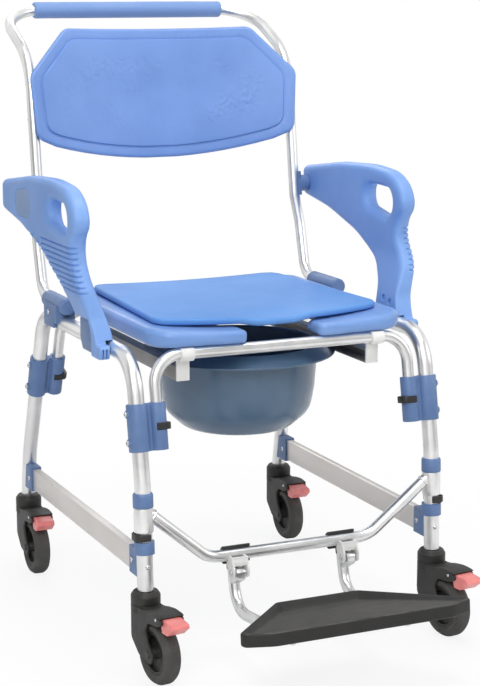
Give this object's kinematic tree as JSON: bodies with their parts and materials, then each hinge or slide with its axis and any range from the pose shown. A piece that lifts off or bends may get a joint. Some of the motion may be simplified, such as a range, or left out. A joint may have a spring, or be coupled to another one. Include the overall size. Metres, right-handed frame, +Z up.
{
  "type": "shower commode chair",
  "caption": "Wheeled shower commode chair: bent tube frame on braked casters, keyhole seat with cover and sliding pan, flip-up armrests, flip-up footplate and curved back panel.",
  "frame": {"origin": "on the floor under the middle of the chair's outer box", "axes": "+Z up, -Y the way the chair faces, +X the sitter's left"},
  "size_m": [0.617, 0.982, 1.029],
  "materials": {
    "aluminium_tube": "bright satin anodised",
    "side_bar_aluminium": "satin anodised",
    "blue_fitting": "moulded, satin",
    "steel": "plated",
    "white_plastic": "moulded, semi-gloss",
    "black_rubber": "matt",
    "dark_plastic": "textured",
    "blue_shell": "blow-moulded, satin with a fine pebble",
    "blue_grip": "soft foam",
    "blue_seat": "moulded, semi-gloss",
    "blue_cover": "moulded, semi-gloss",
    "pan_plastic": "moulded, slightly clear",
    "black_plastic": "moulded",
    "caster_plastic": "glass-filled, satin",
    "grey_tyre": "matt",
    "hub_plastic": "moulded",
    "red_pedal": "moulded, semi-gloss"
  },
  "bodies": {
    "chair_frame": {"side_frame_left": "aluminium_tube", "side_frame_right": "aluminium_tube", "front_crossbar": "aluminium_tube", "rear_crossbar": "aluminium_tube", "frame_clamps": "blue_fitting", "frame_screws": "steel", "side_bars": "side_bar_aluminium", "side_bar_brackets": "blue_fitting", "caster_stems": "steel", "footrest_bar": "aluminium_tube", "footrest_collars": "blue_fitting", "footplate_brackets": "white_plastic", "footplate_bumpers": "black_rubber", "armrest_brackets": "blue_fitting", "hinge_pins": "steel", "back_frame": "aluminium_tube", "push_grip": "blue_grip", "back_sockets": "blue_fitting", "backrest_panel": "blue_shell", "seat": "blue_seat", "pan_rails": "white_plastic", "rail_hangers": "white_plastic"},
    "caster_front_left": {"caster_fork_front_left": "caster_plastic", "caster_axle_front_left": "steel"},
    "wheel_front_left": {"caster_tyre_front_left": "grey_tyre", "caster_hub_front_left": "hub_plastic"},
    "pedal_front_left": {"brake_pedal_front_left": "red_pedal"},
    "caster_front_right": {"caster_fork_front_right": "caster_plastic", "caster_axle_front_right": "steel"},
    "wheel_front_right": {"caster_tyre_front_right": "grey_tyre", "caster_hub_front_right": "hub_plastic"},
    "pedal_front_right": {"brake_pedal_front_right": "red_pedal"},
    "caster_rear_left": {"caster_fork_rear_left": "caster_plastic", "caster_axle_rear_left": "steel"},
    "wheel_rear_left": {"caster_tyre_rear_left": "grey_tyre", "caster_hub_rear_left": "hub_plastic"},
    "pedal_rear_left": {"brake_pedal_rear_left": "red_pedal"},
    "caster_rear_right": {"caster_fork_rear_right": "caster_plastic", "caster_axle_rear_right": "steel"},
    "wheel_rear_right": {"caster_tyre_rear_right": "grey_tyre", "caster_hub_rear_right": "hub_plastic"},
    "pedal_rear_right": {"brake_pedal_rear_right": "red_pedal"},
    "arm_left": {"armrest_left": "blue_shell"},
    "latch_left": {"armrest_latch_left": "blue_fitting"},
    "arm_right": {"armrest_right": "blue_shell"},
    "latch_right": {"armrest_latch_right": "blue_fitting"},
    "foot_flap": {"footplate": "dark_plastic", "footplate_arms": "aluminium_tube"},
    "pan_body": {"pan": "pan_plastic"},
    "cover_body": {"seat_cover": "blue_cover"},
    "clip_front_left": {"lock_clip_front_left": "black_plastic"},
    "clip_front_right": {"lock_clip_front_right": "black_plastic"},
    "clip_rear_left": {"lock_clip_rear_left": "black_plastic"},
    "clip_rear_right": {"lock_clip_rear_right": "black_plastic"},
    "foot_clip_left": {"footrest_clip_left": "black_plastic"},
    "foot_clip_right": {"footrest_clip_right": "black_plastic"},
    "button_front_left": {"stem_button_front_left": "steel"},
    "button_front_right": {"stem_button_front_right": "steel"},
    "button_rear_left": {"stem_button_rear_left": "steel"},
    "button_rear_right": {"stem_button_rear_right": "steel"}
  },
  "joints": [
    {"name": "swivel_front_left", "type": "hinge", "parent": "chair_frame", "child": "caster_front_left", "pos_m": [0.256, -0.241, 0.12], "axis": [0, 0, 1], "continuous": true},
    {"name": "roll_front_left", "type": "hinge", "parent": "caster_front_left", "child": "wheel_front_left", "pos_m": [0.26148, -0.28567, 0.05], "axis": [0.9925, 0.1219, 0], "continuous": true},
    {"name": "brake_front_left", "type": "hinge", "parent": "caster_front_left", "child": "pedal_front_left", "pos_m": [0.26477, -0.31246, 0.114], "axis": [0.9925, 0.1219, 0], "range_deg": [0, 13]},
    {"name": "swivel_front_right", "type": "hinge", "parent": "chair_frame", "child": "caster_front_right", "pos_m": [-0.256, -0.241, 0.12], "axis": [0, 0, 1], "continuous": true},
    {"name": "roll_front_right", "type": "hinge", "parent": "caster_front_right", "child": "wheel_front_right", "pos_m": [-0.2513, -0.28575, 0.05], "axis": [0.9945, 0.1045, 0], "continuous": true},
    {"name": "brake_front_right", "type": "hinge", "parent": "caster_front_right", "child": "pedal_front_right", "pos_m": [-0.24847, -0.31261, 0.114], "axis": [0.9945, 0.1045, 0], "range_deg": [0, 13]},
    {"name": "swivel_rear_left", "type": "hinge", "parent": "chair_frame", "child": "caster_rear_left", "pos_m": [0.256, 0.351, 0.12], "axis": [0, 0, 1], "continuous": true},
    {"name": "roll_rear_left", "type": "hinge", "parent": "caster_rear_left", "child": "wheel_rear_left", "pos_m": [0.25443, 0.30603, 0.05], "axis": [0.9994, -0.0349, 0], "continuous": true},
    {"name": "brake_rear_left", "type": "hinge", "parent": "caster_rear_left", "child": "pedal_rear_left", "pos_m": [0.25349, 0.27904, 0.114], "axis": [0.9994, -0.0349, 0], "range_deg": [0, 13]},
    {"name": "swivel_rear_right", "type": "hinge", "parent": "chair_frame", "child": "caster_rear_right", "pos_m": [-0.256, 0.351, 0.12], "axis": [0, 0, 1], "continuous": true},
    {"name": "roll_rear_right", "type": "hinge", "parent": "caster_rear_right", "child": "wheel_rear_right", "pos_m": [-0.25757, 0.30603, 0.05], "axis": [0.9994, -0.0349, 0], "continuous": true},
    {"name": "brake_rear_right", "type": "hinge", "parent": "caster_rear_right", "child": "pedal_rear_right", "pos_m": [-0.25851, 0.27904, 0.114], "axis": [0.9994, -0.0349, 0], "range_deg": [0, 13]},
    {"name": "armrest_flip_left", "type": "hinge", "parent": "chair_frame", "child": "arm_left", "pos_m": [0.293, 0.277, 0.697], "axis": [-1, 0, 0], "range_deg": [0, 95]},
    {"name": "latch_swing_left", "type": "hinge", "parent": "arm_left", "child": "latch_left", "pos_m": [0.2772, -0.066, 0.5323], "axis": [0, -1, 0], "range_deg": [0, 14]},
    {"name": "armrest_flip_right", "type": "hinge", "parent": "chair_frame", "child": "arm_right", "pos_m": [-0.293, 0.277, 0.697], "axis": [-1, 0, 0], "range_deg": [0, 95]},
    {"name": "latch_swing_right", "type": "hinge", "parent": "arm_right", "child": "latch_right", "pos_m": [-0.2772, -0.066, 0.5323], "axis": [0, 1, 0], "range_deg": [0, 14]},
    {"name": "footplate_flip", "type": "hinge", "parent": "chair_frame", "child": "foot_flap", "pos_m": [0, -0.246, 0.146], "axis": [-1, 0, 0], "range_deg": [0, 95]},
    {"name": "pan_slide", "type": "slide", "parent": "chair_frame", "child": "pan_body", "axis": [0, 1, 0], "range_m": [0, 0.38]},
    {"name": "cover_lift", "type": "slide", "parent": "chair_frame", "child": "cover_body", "axis": [0, 0, 1], "range_m": [0, 0.3]},
    {"name": "clip_pull_front_left", "type": "slide", "parent": "chair_frame", "child": "clip_front_left", "axis": [-1, 0, 0], "range_m": [0, 0.022]},
    {"name": "clip_pull_front_right", "type": "slide", "parent": "chair_frame", "child": "clip_front_right", "axis": [1, 0, 0], "range_m": [0, 0.022]},
    {"name": "clip_pull_rear_left", "type": "slide", "parent": "chair_frame", "child": "clip_rear_left", "axis": [-1, 0, 0], "range_m": [0, 0.022]},
    {"name": "clip_pull_rear_right", "type": "slide", "parent": "chair_frame", "child": "clip_rear_right", "axis": [1, 0, 0], "range_m": [0, 0.022]},
    {"name": "footrest_clip_pull_left", "type": "slide", "parent": "chair_frame", "child": "foot_clip_left", "axis": [1, 0, 0], "range_m": [0, 0.022]},
    {"name": "footrest_clip_pull_right", "type": "slide", "parent": "chair_frame", "child": "foot_clip_right", "axis": [-1, 0, 0], "range_m": [0, 0.022]},
    {"name": "button_press_front_left", "type": "slide", "parent": "chair_frame", "child": "button_front_left", "axis": [0, 1, 0], "range_m": [0, 0.0032], "stiffness_N_per_m": 300},
    {"name": "button_press_front_right", "type": "slide", "parent": "chair_frame", "child": "button_front_right", "axis": [0, 1, 0], "range_m": [0, 0.0032], "stiffness_N_per_m": 300},
    {"name": "button_press_rear_left", "type": "slide", "parent": "chair_frame", "child": "button_rear_left", "axis": [0, -1, 0], "range_m": [0, 0.0032], "stiffness_N_per_m": 300},
    {"name": "button_press_rear_right", "type": "slide", "parent": "chair_frame", "child": "button_rear_right", "axis": [0, -1, 0], "range_m": [0, 0.0032], "stiffness_N_per_m": 300}
  ]
}
